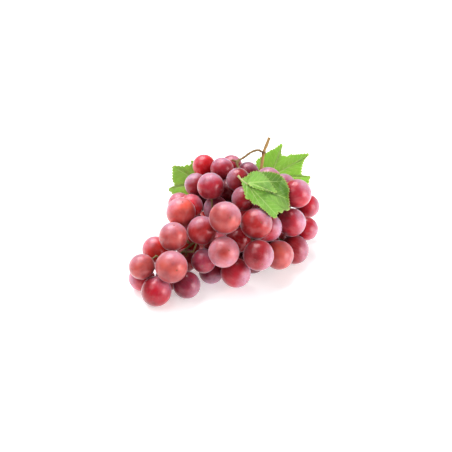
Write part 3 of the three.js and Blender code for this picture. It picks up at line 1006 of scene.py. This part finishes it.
def berry_skin_material(settings):
    """Red skin, mottled and freckled, under a pale waxy bloom that is partly painted sheen, over
    juicy flesh.
    """
    material, tree, surface = new_material("grape skin")
    place = read(tree, "place", "Vector")
    number = read(tree, "number")
    shift = make_node(
        tree, "ShaderNodeVectorMath", {0: (7.1, 3.3, 5.9), "Scale": number}, operation="SCALE"
    ).outputs[0]
    where = make_node(
        tree, "ShaderNodeVectorMath", {0: place, 1: shift}, operation="ADD"
    ).outputs[0]
    tone = read(tree, "tone", "Color")

    deeper = mix(tree, 1.0, tone, (0.5, 0.3, 0.42, 1), "MULTIPLY")
    blotches = span(tree, noise(tree, where, 1.5, 3.0), 0.42, 0.68, 0.0, 0.6)
    skin = mix(tree, blotches, tone, deeper)
    warmer = mix(tree, 1.0, tone, (1.25, 1.1, 0.75, 1), "MULTIPLY")
    warm = span(tree, noise(tree, where, 1.1, 1.0), 0.5, 0.72, 0.0, 0.6)
    skin = mix(tree, warm, skin, warmer)
    streaks = noise(tree, where, 2.0, 3.0, stretch=(3, 3, 0.8))
    skin = mix(tree, span(tree, streaks, 0.5, 0.75, 0.0, 0.12), skin, (0.6, 0.2, 0.2, 1))
    freckles = span(tree, spots(tree, where, 9.0), 0.05, 0.11, 0.3, 0.0)
    skin = mix(tree, freckles, skin, (0.62, 0.3, 0.26, 1))

    # The bloom read here is partly real bloom and partly painted sheen on the lit side or rim.
    veil = read(tree, "veil")
    worn = span(tree, noise(tree, where, 2.2, 5.0, 0.6), 0.3, 0.66, 0.55, 1.25)
    fine = span(tree, noise(tree, where, 14.0, 4.0, 0.6), 0.35, 0.65, 0.8, 1.1)
    bloom = times(tree, times(tree, veil, worn), fine)
    bloom = times(tree, bloom, settings.bloom, clamp=True)
    skin = mix(tree, bloom, skin, rgba(settings.bloom_colour))

    height = make_node(tree, "ShaderNodeSeparateXYZ", {0: place}).outputs["Z"]
    scar = span(tree, height, -0.9965, -0.998)
    skin = mix(tree, scar, skin, (0.27, 0.08, 0.05, 1))
    collar = span(tree, height, 0.955, 0.985, 0.0, 0.55)
    skin = mix(tree, collar, skin, (0.5, 0.24, 0.12, 1))
    tree.links.new(skin, surface.inputs["Base Color"])

    roughness = plus(tree, settings.gloss_roughness, times(tree, bloom, 0.35))
    tree.links.new(roughness, surface.inputs["Roughness"])
    relief(tree, surface, noise(tree, where, 26.0, 3.0), 0.06, 0.0004)
    surface.inputs["Subsurface Weight"].default_value = 0.5
    surface.inputs["Subsurface Radius"].default_value = (1.0, 0.12, 0.1)
    surface.inputs["Subsurface Scale"].default_value = 0.005
    surface.inputs["Sheen Weight"].default_value = 0.6
    surface.inputs["Sheen Roughness"].default_value = 0.3
    surface.inputs["Sheen Tint"].default_value = (0.95, 0.78, 0.9, 1)
    surface.inputs["Specular Tint"].default_value = (1.0, 0.3, 0.36, 1)
    surface.inputs["Coat Weight"].default_value = 0.5
    surface.inputs["Coat Roughness"].default_value = 0.22
    surface.inputs["IOR"].default_value = 1.42
    return material


def stalk_material(settings):
    """Green where the stems are young, tan and streaked where they are woody."""
    material, tree, surface = new_material("grape stalk")
    where = read(tree, "round_along", "Vector")
    woody = read(tree, "woody")
    streaks = noise(tree, where, 1.6, 4.0, stretch=(2.2, 2.2, 0.12))
    green = mix(tree, streaks, rgba(settings.green), (0.15, 0.13, 0.035, 1))
    brown = mix(tree, streaks, rgba(settings.brown), (0.16, 0.07, 0.025, 1))
    patches = span(tree, noise(tree, where, 0.35, 2.0), 0.4, 0.7, -0.2, 0.3)
    colour = mix(tree, plus(tree, woody, patches, clamp=True), green, brown)
    warts = span(tree, spots(tree, where, 1.7), 0.1, 0.2, 0.55, 0.0)
    colour = mix(tree, warts, colour, (0.2, 0.09, 0.03, 1))
    tree.links.new(colour, surface.inputs["Base Color"])
    relief(tree, surface, streaks, 0.4, 0.0004)
    surface.inputs["Roughness"].default_value = 0.55
    surface.inputs["Subsurface Weight"].default_value = 0.1
    surface.inputs["Subsurface Scale"].default_value = 0.001
    return material


def bark_material(settings):
    """Brown bark with long cracks, and pale wood where the shoot is cut."""
    material, tree, surface = new_material("vine bark")
    where = read(tree, "round_along", "Vector")
    fibres = noise(tree, where, 2.2, 5.0, stretch=(2.5, 2.5, 0.1))
    cracks = span(tree, fibres, 0.52, 0.62)
    bark = mix(tree, cracks, rgba(settings.bark), (0.12, 0.055, 0.02, 1))
    patches = span(tree, noise(tree, where, 0.3, 2.0), 0.35, 0.7, 0.0, 0.6)
    bark = mix(tree, patches, bark, (0.42, 0.27, 0.1, 1))
    knot = read(tree, "knot")
    bark = mix(tree, knot, bark, (0.07, 0.03, 0.015, 1))
    cut = read(tree, "cut")
    rings = span(tree, noise(tree, where, 4.0, 2.0), 0.3, 0.7, 0.0, 0.5)
    wood = mix(tree, rings, (0.4, 0.36, 0.3, 1), (0.22, 0.18, 0.14, 1))
    tree.links.new(mix(tree, cut, bark, wood), surface.inputs["Base Color"])
    relief(tree, surface, fibres, 0.6, 0.0005)
    surface.inputs["Roughness"].default_value = 0.7
    return material


def vein_masks(tree, place, veins):
    """How much each place lies on a main vein and on a side vein, from the foot and the tips."""
    foot, tips = veins
    x, y, _ = make_node(tree, "ShaderNodeSeparateXYZ", {0: place}).outputs
    nearest, run, main = FAR_ASIDE, 0.0, 0.0
    for tip in tips:
        reach = math.hypot(tip[0] - foot[0], tip[1] - foot[1])
        cos, sin = (tip[0] - foot[0]) / reach, (tip[1] - foot[1]) / reach
        forward = plus(tree, times(tree, x, cos), times(tree, y, sin))
        aside = calculate(tree, "SUBTRACT", times(tree, x, sin), times(tree, y, cos))
        behind = times(tree, calculate(tree, "LESS_THAN", forward, 0.0), BEHIND_FOOT)
        aside = plus(tree, calculate(tree, "ABSOLUTE", aside), behind)
        width = span(tree, forward, 0.0, reach, 0.55, 0.12)
        on = calculate(tree, "SUBTRACT", 1.6, calculate(tree, "DIVIDE", aside, width), clamp=True)
        main = calculate(tree, "MAXIMUM", main, on)
        closer = calculate(tree, "LESS_THAN", aside, nearest)
        kept = calculate(tree, "SUBTRACT", 1.0, closer)
        run = plus(tree, times(tree, run, kept), times(tree, forward, closer))
        nearest = calculate(tree, "MINIMUM", aside, nearest)
    slant = calculate(tree, "SUBTRACT", run, times(tree, nearest, 0.95))
    wobble = times(tree, noise(tree, place, 0.25, 2.0), 2.0)
    stripe = calculate(tree, "PINGPONG", plus(tree, slant, wobble), 2.1)
    side = span(tree, stripe, 0.14, 0.42, 1.0, 0.0)
    fade = span(tree, nearest, 1.0, 11.0, 1.0, 0.35)
    return main, times(tree, side, fade)


def leaf_material(name, colours, veins):
    """Green blade with paler veins and a fine net between them, letting light through, darkened by
    painted shade where the mesh carries it.
    """
    colour, shade, pale = colours
    material, tree, surface = new_material(name)
    place = read(tree, "leaf_place", "Vector")
    main, side = vein_masks(tree, place, veins)
    net = span(tree, spots(tree, place, 1.1, "DISTANCE_TO_EDGE"), 0.02, 0.1, 1.0, 0.0)
    broad = span(tree, noise(tree, place, 0.09, 3.0), 0.35, 0.68)
    green = mix(tree, broad, rgba(colour), rgba(shade))
    small = span(tree, noise(tree, place, 0.9, 4.0), 0.35, 0.7, 0.0, 0.3)
    green = mix(tree, small, green, rgba(shade))
    # Painted shade: the green is darkened towards a deeper shaded green where the mesh carries it.
    shaded_green = mix(tree, 1.0, rgba(shade), (0.65, 0.65, 0.3, 1), "MULTIPLY")
    green = mix(tree, read(tree, "deeper"), green, shaded_green)
    underside = times(tree, read(tree, "underside"), 0.55)
    green = mix(tree, underside, green, (0.34, 0.45, 0.2, 1))
    edge = span(tree, read(tree, "edge"), 0.94, 1.0, 0.0, 0.45)
    green = mix(tree, edge, green, (0.55, 0.5, 0.12, 1))
    for lines, strength in ((net, 0.12), (side, 0.3), (main, 0.6)):
        green = mix(tree, times(tree, lines, strength), green, rgba(pale))
    stalk = read(tree, "stalk")
    fibres = noise(tree, read(tree, "round_along", "Vector"), 1.5, 3.0, stretch=(2, 2, 0.2))
    petiole = mix(tree, fibres, (0.62, 0.58, 0.3, 1), (0.36, 0.4, 0.12, 1))
    green = mix(tree, stalk, green, petiole)
    tree.links.new(green, surface.inputs["Base Color"])
    height = plus(tree, times(tree, side, -0.5), times(tree, main, -1.0))
    height = plus(tree, height, times(tree, net, -0.2))
    relief(tree, surface, height, 0.5, 0.0004)
    surface.inputs["Roughness"].default_value = 0.48
    surface.inputs["Specular IOR Level"].default_value = 0.3
    surface.inputs["Subsurface Weight"].default_value = 0.35
    surface.inputs["Subsurface Radius"].default_value = (0.5, 1.0, 0.15)
    surface.inputs["Subsurface Scale"].default_value = 0.0012
    surface.inputs["Sheen Weight"].default_value = 0.12
    surface.inputs["Sheen Roughness"].default_value = 0.5
    return material


def paper_material(settings):
    """Seamless white paper with a faint grain."""
    material, tree, surface = new_material("white paper")
    where = make_node(tree, "ShaderNodeTexCoord").outputs["Object"]
    grain = noise(tree, where, 900.0, 2.0)
    white = mix(tree, grain, rgba(settings.paper), (0.9, 0.9, 0.9, 1))
    tree.links.new(white, surface.inputs["Base Color"])
    surface.inputs["Roughness"].default_value = 0.9
    surface.inputs["Specular IOR Level"].default_value = 0.1
    surface.inputs["Emission Color"].default_value = (1, 1, 1, 1)
    surface.inputs["Emission Strength"].default_value = settings.paper_glow
    return material


class GrapeBerrySettings(bpy.types.PropertyGroup):
    """What can be set for the berries' skin"""

    # The bloom also carries the painted sheen that is laid on the lit side or rim of each berry.
    bloom: FloatProperty(
        name="Bloom",
        description="How much of the pale waxy bloom is still on the berries",
        default=1.0,
        min=0.0,
        max=1.6,
        subtype="FACTOR",
    )
    bloom_colour: FloatVectorProperty(
        name="Bloom colour",
        description="Colour of the waxy bloom",
        default=(0.6, 0.38, 0.52),
        size=3,
        min=0.0,
        max=1.0,
        subtype="COLOR",
    )
    gloss_roughness: FloatProperty(
        name="Skin roughness",
        description="Roughness of the skin where no bloom covers it",
        default=0.3,
        min=0.05,
        max=0.8,
        subtype="FACTOR",
    )


class GrapeStalkSettings(bpy.types.PropertyGroup):
    """What can be set for the stalk and the stems"""

    berry_stem_radius: FloatProperty(
        name="Berry stem radius",
        description="Radius of the small stem that carries one berry",
        default=PEDICEL_RADIUS * MM,
        min=0.0003,
        max=0.001,
        unit="LENGTH",
        precision=5,
    )
    green: FloatVectorProperty(
        name="Young stem colour",
        description="Colour of the green stems",
        default=(0.27, 0.21, 0.055),
        size=3,
        min=0.0,
        max=1.0,
        subtype="COLOR",
    )
    brown: FloatVectorProperty(
        name="Woody stem colour",
        description="Colour of the stalk where it has turned woody",
        default=(0.3, 0.17, 0.05),
        size=3,
        min=0.0,
        max=1.0,
        subtype="COLOR",
    )


class GrapeShootSettings(bpy.types.PropertyGroup):
    """What can be set for the shoot"""

    bark: FloatVectorProperty(
        name="Bark colour",
        description="Colour of the shoot's bark",
        default=(0.55, 0.31, 0.09),
        size=3,
        min=0.0,
        max=1.0,
        subtype="COLOR",
    )


class GrapeLeafSettings(bpy.types.PropertyGroup):
    """What can be set for the leaves"""

    thickness: FloatProperty(
        name="Leaf thickness",
        description="Thickness of a leaf's blade",
        default=0.4 * MM,
        min=0.0002,
        max=0.0008,
        unit="LENGTH",
        precision=5,
    )
    front_colour: FloatVectorProperty(
        name="Front leaf colour",
        description="Colour of the leaf that lies on the berries",
        default=(0.2, 0.42, 0.045),
        size=3,
        min=0.0,
        max=1.0,
        subtype="COLOR",
    )
    back_right_colour: FloatVectorProperty(
        name="Right leaf colour",
        description="Colour of the leaf behind the bunch, on the right",
        default=(0.25, 0.48, 0.045),
        size=3,
        min=0.0,
        max=1.0,
        subtype="COLOR",
    )
    back_left_colour: FloatVectorProperty(
        name="Left leaf colour",
        description="Colour of the leaf behind the bunch, on the left",
        default=(0.34, 0.56, 0.07),
        size=3,
        min=0.0,
        max=1.0,
        subtype="COLOR",
    )


class GrapeStageSettings(bpy.types.PropertyGroup):
    """What can be set for the paper, the lights and the camera"""

    lens: FloatProperty(
        name="Lens",
        description="Focal length of the camera, in millimetres",
        default=68.0,
        min=20.0,
        max=200.0,
    )
    overhead_strength: FloatProperty(
        name="Overhead light",
        description="Strength of the broad light above and behind the bunch",
        default=3.2,
        min=0.0,
        max=20.0,
    )
    overhead_breadth: FloatProperty(
        name="Overhead breadth",
        description="How broad the overhead light looks from the bunch, in degrees",
        default=40.0,
        min=1.0,
        max=170.0,
    )
    right_power: FloatProperty(
        name="Right light",
        description="Power of the soft light on the right",
        default=3.4,
        min=0.0,
        max=60.0,
        unit="POWER",
    )
    front_power: FloatProperty(
        name="Front light",
        description="Power of the broad light at the upper left of the camera",
        default=1.6,
        min=0.0,
        max=60.0,
        unit="POWER",
    )
    surroundings: FloatProperty(
        name="Surroundings",
        description="Brightness of the white surroundings",
        default=0.3,
        min=0.0,
        max=3.0,
    )
    paper_glow: FloatProperty(
        name="Paper glow",
        description="How brightly the paper is lit from below",
        default=0.42,
        min=0.0,
        max=2.0,
    )
    paper: FloatVectorProperty(
        name="Paper colour",
        description="Colour of the paper that the bunch lies on",
        default=(0.95, 0.95, 0.95),
        size=3,
        min=0.0,
        max=1.0,
        subtype="COLOR",
    )


class AddGrapeBerries(bpy.types.Operator):
    """Adds the berries, one piece for each spray of the bunch"""

    bl_idname = "grapes.add_berries"
    bl_label = "Add berries"

    def execute(self, context):
        material = berry_skin_material(context.scene.grape_berries)
        for index, arm in enumerate(BUNCH.arms, 1):
            shape = Shape()
            for berry in arm.berries:
                add_berry(shape, berry)
            shape.make(f"spray_{index:02d}_berries", material, f"spray_{index:02d}")
        return {"FINISHED"}


class AddGrapeStems(bpy.types.Operator):
    """Adds the side stems with their berry stems, one piece for each spray"""

    bl_idname = "grapes.add_stems"
    bl_label = "Add stems"

    def execute(self, context):
        settings = context.scene.grape_stalk
        material = stalk_material(settings)
        radius = settings.berry_stem_radius / MM
        for index, arm in enumerate(BUNCH.arms, 1):
            shape = Shape()
            steps = 10
            away = arm.root + unit(arm.tip - arm.root) * (RACHIS_RADIUS + PART_GAP)
            path = [away + (arm.tip - away) * (k / steps) for k in range(steps + 1)]
            radii = [ARM_RADIUS * (1.15 - 0.35 * k / steps) for k in range(steps + 1)]
            add_tube(shape, path, radii, 12, 0.06, index, woody=0.45)
            for berry in arm.berries:
                path = smooth(berry.stem, 26)
                swell = [
                    1 + 0.5 * math.exp(-((k / 2.0) ** 2)) + 1.1 * math.exp(-(((k - 24) / 2.2) ** 2))
                    for k in range(27)
                ]
                radii = [radius * share for share in swell]
                add_tube(shape, path, radii, 10, 0.05, 50 + berry.number, woody=0.1)
            shape.make(f"spray_{index:02d}_stems", material, f"spray_{index:02d}")
        return {"FINISHED"}


class AddGrapeStalk(bpy.types.Operator):
    """Adds the main stalk, from the shoot over its fork into the bunch"""

    bl_idname = "grapes.add_stalk"
    bl_label = "Add main stalk"

    def execute(self, context):
        material = bpy.data.materials["grape stalk"]
        shape = Shape()
        steps = 160
        path = smooth(RACHIS_PATH, steps)
        knot = from_look(*KNOT)
        first = next(k for k, at in enumerate(path) if length(at - knot) > KNOT_RADIUS + PART_GAP)
        path = path[first:]
        fork = from_look(*PEDUNCLE[FORK])
        at_fork = min(range(len(path)), key=lambda k: length(path[k] - fork))
        radii = []
        woody = []
        for k in range(len(path)):
            past = k - at_fork
            swell = 1 + 0.55 * math.exp(-((past / 2.4) ** 2))
            radii.append(RACHIS_RADIUS * (1 - 0.1 * k / steps) * swell)
            woody.append(0.75 if past < 0 else max(0.05, 0.5 - 0.06 * past))
        sides = 14
        values = np.repeat(woody, sides)
        values = np.append(values, (woody[0], woody[-1]))
        add_tube(shape, path, radii, sides, 0.08, 3, woody=values)
        stub = smooth([fork, (fork + from_look(*FORK_STUB)) / 2, from_look(*FORK_STUB)], 8)
        add_tube(shape, stub, [1, 0.95, 0.85, 0.8, 0.8, 0.8, 0.85, 0.8, 0.6], 12, 0.1, 4, woody=1.0)
        shape.make("main_stalk", material, "rachis")
        return {"FINISHED"}


class AddGrapeShoot(bpy.types.Operator):
    """Adds the short piece of woody shoot that the stalk grows from"""

    bl_idname = "grapes.add_shoot"
    bl_label = "Add shoot"

    def execute(self, context):
        material = bark_material(context.scene.grape_shoot)
        shape = Shape()
        steps = 70
        sides = 20
        path = smooth(CANE_PATH, steps)
        knot = from_look(*KNOT)
        at_knot = min(range(len(path)), key=lambda k: length(path[k] - knot))
        radii = []
        dark = []
        for k in range(steps + 1):
            near_knot = math.exp(-(((k - at_knot) / 2.6) ** 2))
            radii.append(CANE_RADIUS * (0.94 + 0.34 * near_knot + 0.03 * math.sin(0.35 * k)))
            dark.append(0.75 * near_knot)
        # The tube's last two points are the middles of its cut ends.
        knot_values = np.append(np.repeat(dark, sides), (0, 0))
        cut_values = np.append(np.zeros(len(path) * sides), (1, 1))
        add_tube(shape, path, radii, sides, 0.05, 9, knot=knot_values, cut=cut_values)
        shape.make("shoot", material, "cane")
        return {"FINISHED"}


class AddGrapeLeaves(bpy.types.Operator):
    """Adds the leaf on the berries and the two leaves behind the bunch"""

    bl_idname = "grapes.add_leaves"
    bl_label = "Add leaves"

    @staticmethod
    def add_petiole(shape, places, seed):
        """Adds a leaf's stalk, thicker at its start."""
        path = smooth([from_look(*place) for place in places], 20)
        radii = [PETIOLE_RADIUS * (1 + 0.35 * math.exp(-((k / 3) ** 2))) for k in range(21)]
        points, faces, coordinates = tube(path, radii, 12, 0.06, seed)
        shape.add(
            points,
            faces,
            leaf_place=np.zeros(3),
            edge=0.0,
            underside=0.0,
            deeper=0.0,
            round_along=coordinates,
            stalk=1.0,
        )

    def execute(self, context):
        settings = context.scene.grape_leaves
        thick = settings.thickness / MM

        front = Shape()
        add_blade(front, FRONT_FOOT, FRONT_OUTLINE, drape, FRONT_VEINS, thick, front_painted_shade)
        add_blade(front, LOBE_FOOT, LOBE_OUTLINE, lapped, LOBE_VEINS, thick)
        self.add_petiole(front, [(x, y, float(drape(x, y))) for x, y in FRONT_PETIOLE], 1)
        colours = (settings.front_colour, *FRONT_GREENS)
        green = leaf_material("front leaf", colours, FRONT_VEINS)
        front.make("front_leaf", green, "leaf_front")

        right = Shape()
        surface = back_right_surface
        add_blade(right, BACK_RIGHT_FOOT, BACK_RIGHT_OUTLINE, surface, BACK_RIGHT_VEINS, thick)
        self.add_petiole(right, BACK_RIGHT_PETIOLE, 2)
        colours = (settings.back_right_colour, *BACK_RIGHT_GREENS)
        green = leaf_material("right leaf", colours, BACK_RIGHT_VEINS)
        right.make("back_right_leaf", green, "leaf_back_right")

        left = Shape()
        surface = back_left_surface
        add_blade(left, BACK_LEFT_FOOT, BACK_LEFT_OUTLINE, surface, BACK_LEFT_VEINS, thick)
        self.add_petiole(left, BACK_LEFT_PETIOLE, 3)
        colours = (settings.back_left_colour, *BACK_LEFT_GREENS)
        green = leaf_material("left leaf", colours, BACK_LEFT_VEINS)
        left.make("back_left_leaf", green, "leaf_back_left")
        return {"FINISHED"}


class SetGrapeStage(bpy.types.Operator):
    """Sets the white paper, the soft lights and the camera"""

    bl_idname = "grapes.set_stage"
    bl_label = "Set stage"

    @staticmethod
    def aim(light, back):
        """Sets a light up in a direction, shining back on the bunch."""
        lamp = bpy.data.objects.new(light.name, light)
        bpy.context.collection.objects.link(lamp)
        back = unit(back)
        side = unit(np.cross((0.0, 0.0, 1.0), back))
        turn = Matrix((side, np.cross(back, side), back)).transposed()
        place = (LOOK_AT + back * LIGHT_DISTANCE) * MM
        lamp.matrix_world = Matrix.Translation(place) @ turn.to_4x4()

    def execute(self, context):
        scene = context.scene
        settings = scene.grape_stage
        mesh = bpy.data.meshes.new("paper")
        reach = PAPER_REACH * MM
        corners = [(-reach, -reach, 0), (reach, -reach, 0), (reach, reach, 0), (-reach, reach, 0)]
        mesh.from_pydata(corners, [], [(0, 1, 2, 3)])
        paper = bpy.data.objects.new("paper", mesh)
        paper.location.z = -PAPER_DROP * MM
        scene.collection.objects.link(paper)
        mesh.materials.append(paper_material(settings))

        overhead = bpy.data.lights.new("overhead light", "SUN")
        overhead.energy = settings.overhead_strength
        overhead.angle = math.radians(settings.overhead_breadth)
        self.aim(overhead, RIGHT * -0.2 + UP * 0.95 + TOWARD * 0.1)
        right = bpy.data.lights.new("right light", "AREA")
        right.shape = "DISK"
        right.size = 0.45
        right.energy = settings.right_power
        self.aim(right, RIGHT * 0.835 + UP * -0.05 + TOWARD * 0.514)
        front = bpy.data.lights.new("front light", "AREA")
        front.shape = "DISK"
        front.size = 0.5
        front.energy = settings.front_power
        self.aim(front, RIGHT * -0.5 + UP * 0.55 + TOWARD * 0.67)

        world = bpy.data.worlds.new("white surroundings")
        world.use_nodes = True
        background = world.node_tree.nodes["Background"]
        background.inputs["Color"].default_value = (1, 1, 1, 1)
        background.inputs["Strength"].default_value = settings.surroundings
        scene.world = world
        scene.view_settings.view_transform = "Standard"

        camera = bpy.data.cameras.new("camera")
        camera.lens = settings.lens
        camera.sensor_width = 36
        eye = bpy.data.objects.new("camera", camera)
        turn = Matrix((RIGHT, UP, TOWARD)).transposed()
        place = (LOOK_AT + TOWARD * LOOK_DISTANCE) * MM
        eye.matrix_world = Matrix.Translation(place) @ turn.to_4x4()
        scene.collection.objects.link(eye)
        scene.camera = eye
        return {"FINISHED"}


class GrapesPanel(bpy.types.Panel):
    """Lists what builds the bunch, with its settings"""

    bl_idname = "VIEW3D_PT_grapes"
    bl_label = "Bunch of grapes"
    bl_space_type = "VIEW_3D"
    bl_region_type = "UI"
    bl_category = "Grapes"

    def draw(self, context):
        for operator, settings in STEPS:
            box = self.layout.box()
            box.operator(operator.bl_idname)
            group = getattr(context.scene, settings)
            for key in group.__annotations__:
                box.prop(group, key)


STEPS = (
    (AddGrapeBerries, "grape_berries"),
    (AddGrapeStems, "grape_stalk"),
    (AddGrapeStalk, "grape_stalk"),
    (AddGrapeShoot, "grape_shoot"),
    (AddGrapeLeaves, "grape_leaves"),
    (SetGrapeStage, "grape_stage"),
)

SETTINGS = {
    "grape_berries": GrapeBerrySettings,
    "grape_stalk": GrapeStalkSettings,
    "grape_shoot": GrapeShootSettings,
    "grape_leaves": GrapeLeafSettings,
    "grape_stage": GrapeStageSettings,
}


def register():
    """Makes the settings, the operators and the panel known."""
    for name, group in SETTINGS.items():
        bpy.utils.register_class(group)
        setattr(bpy.types.Scene, name, PointerProperty(type=group))
    for operator, _ in STEPS:
        bpy.utils.register_class(operator)
    bpy.utils.register_class(GrapesPanel)


def unregister():
    """Takes the settings, the operators and the panel away again."""
    bpy.utils.unregister_class(GrapesPanel)
    for operator, _ in reversed(STEPS):
        bpy.utils.unregister_class(operator)
    for name, group in SETTINGS.items():
        delattr(bpy.types.Scene, name)
        bpy.utils.unregister_class(group)


def main():
    """Builds the bunch and its stage."""
    register()
    bpy.ops.grapes.add_berries()
    bpy.ops.grapes.add_stems()
    bpy.ops.grapes.add_stalk()
    bpy.ops.grapes.add_shoot()
    bpy.ops.grapes.add_leaves()
    bpy.ops.grapes.set_stage()
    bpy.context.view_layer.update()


if __name__ == "__main__":
    main()
